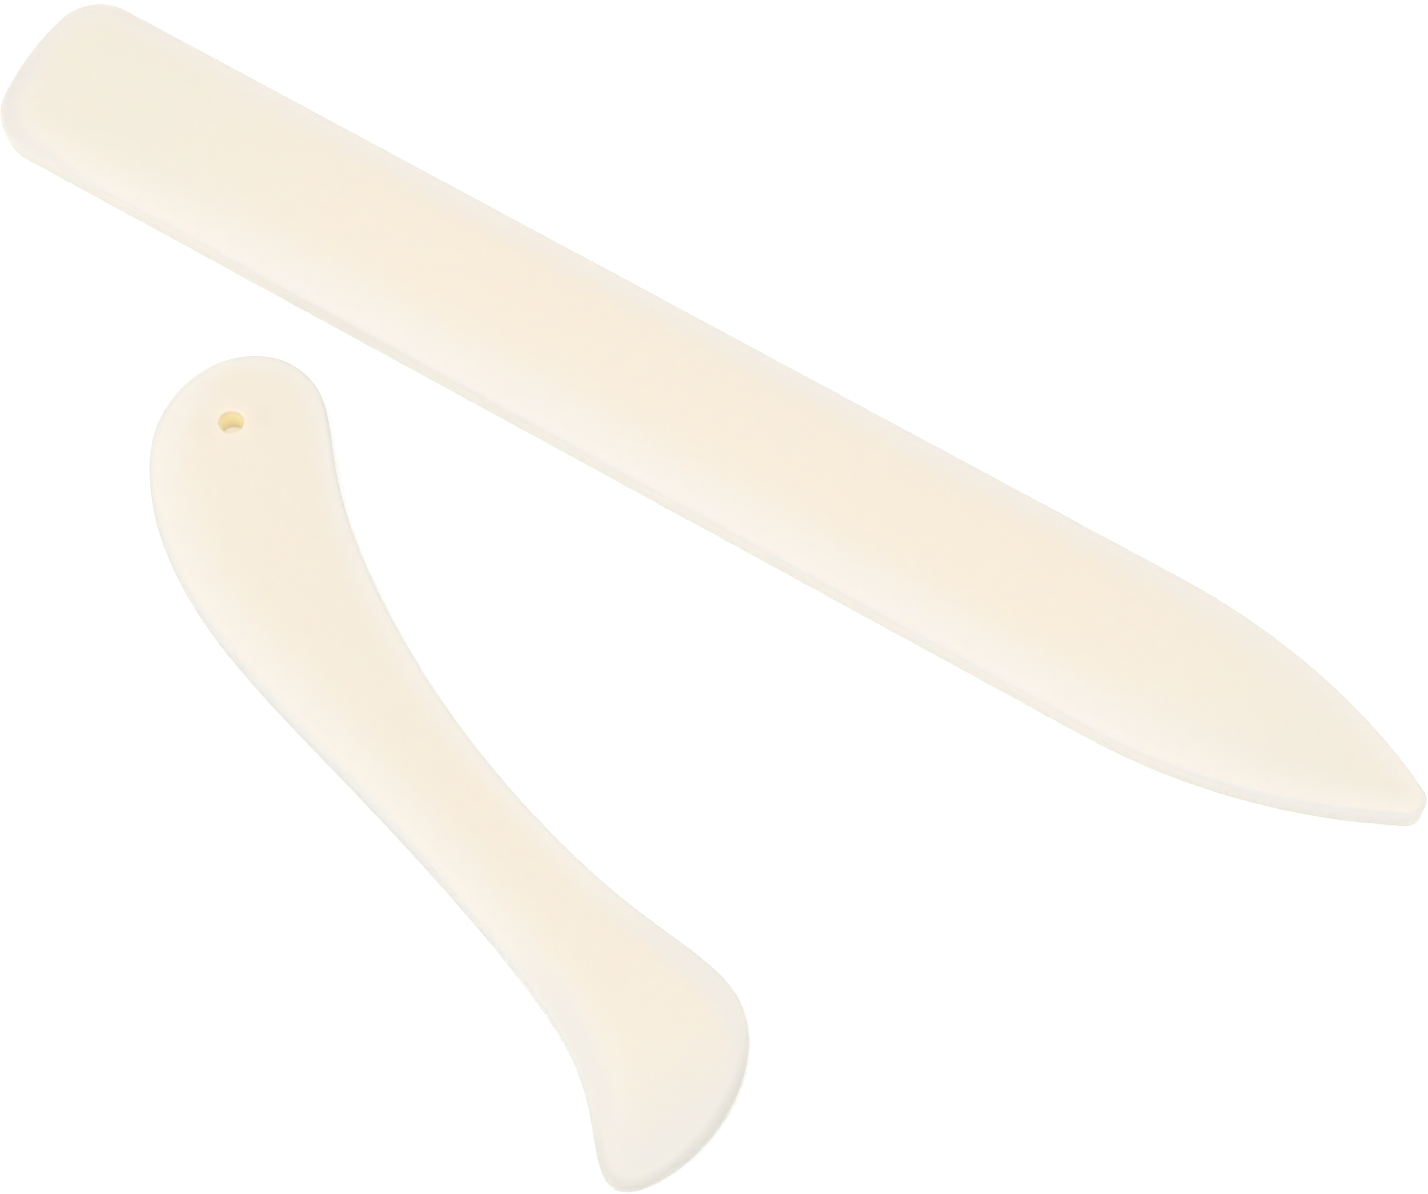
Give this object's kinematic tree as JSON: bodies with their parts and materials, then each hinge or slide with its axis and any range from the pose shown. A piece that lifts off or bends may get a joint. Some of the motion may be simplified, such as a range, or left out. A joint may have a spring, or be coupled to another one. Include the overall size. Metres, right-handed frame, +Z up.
{
  "type": "bone folder set",
  "caption": "Two flat crowned hand tools for creasing and burnishing paper: one long and pointed, one curved with a rounded blade and a hang hole.",
  "frame": {"origin": "the middle of the straight folder's flat underside, on the surface that both folders lie on", "axes": "+X along the straight folder towards its point, +Z up from the surface; the curved folder lies on the -Y side"},
  "size_m": [0.2, 0.1019, 0.0048],
  "materials": {
    "ivory_straight": "satin, moulded, warm ivory, slightly translucent towards the edges",
    "ivory_curved": "satin, moulded, warm ivory, slightly translucent towards the edges and the thin blade"
  },
  "bodies": {
    "straight": {"straight_folder": "ivory_straight"},
    "curved": {"curved_folder": "ivory_curved"}
  },
  "joints": [
    {"name": "curved_folder_lift", "type": "slide", "parent": "straight", "child": "curved", "axis": [0, 0, 1], "range_m": [0, 0.06]}
  ]
}
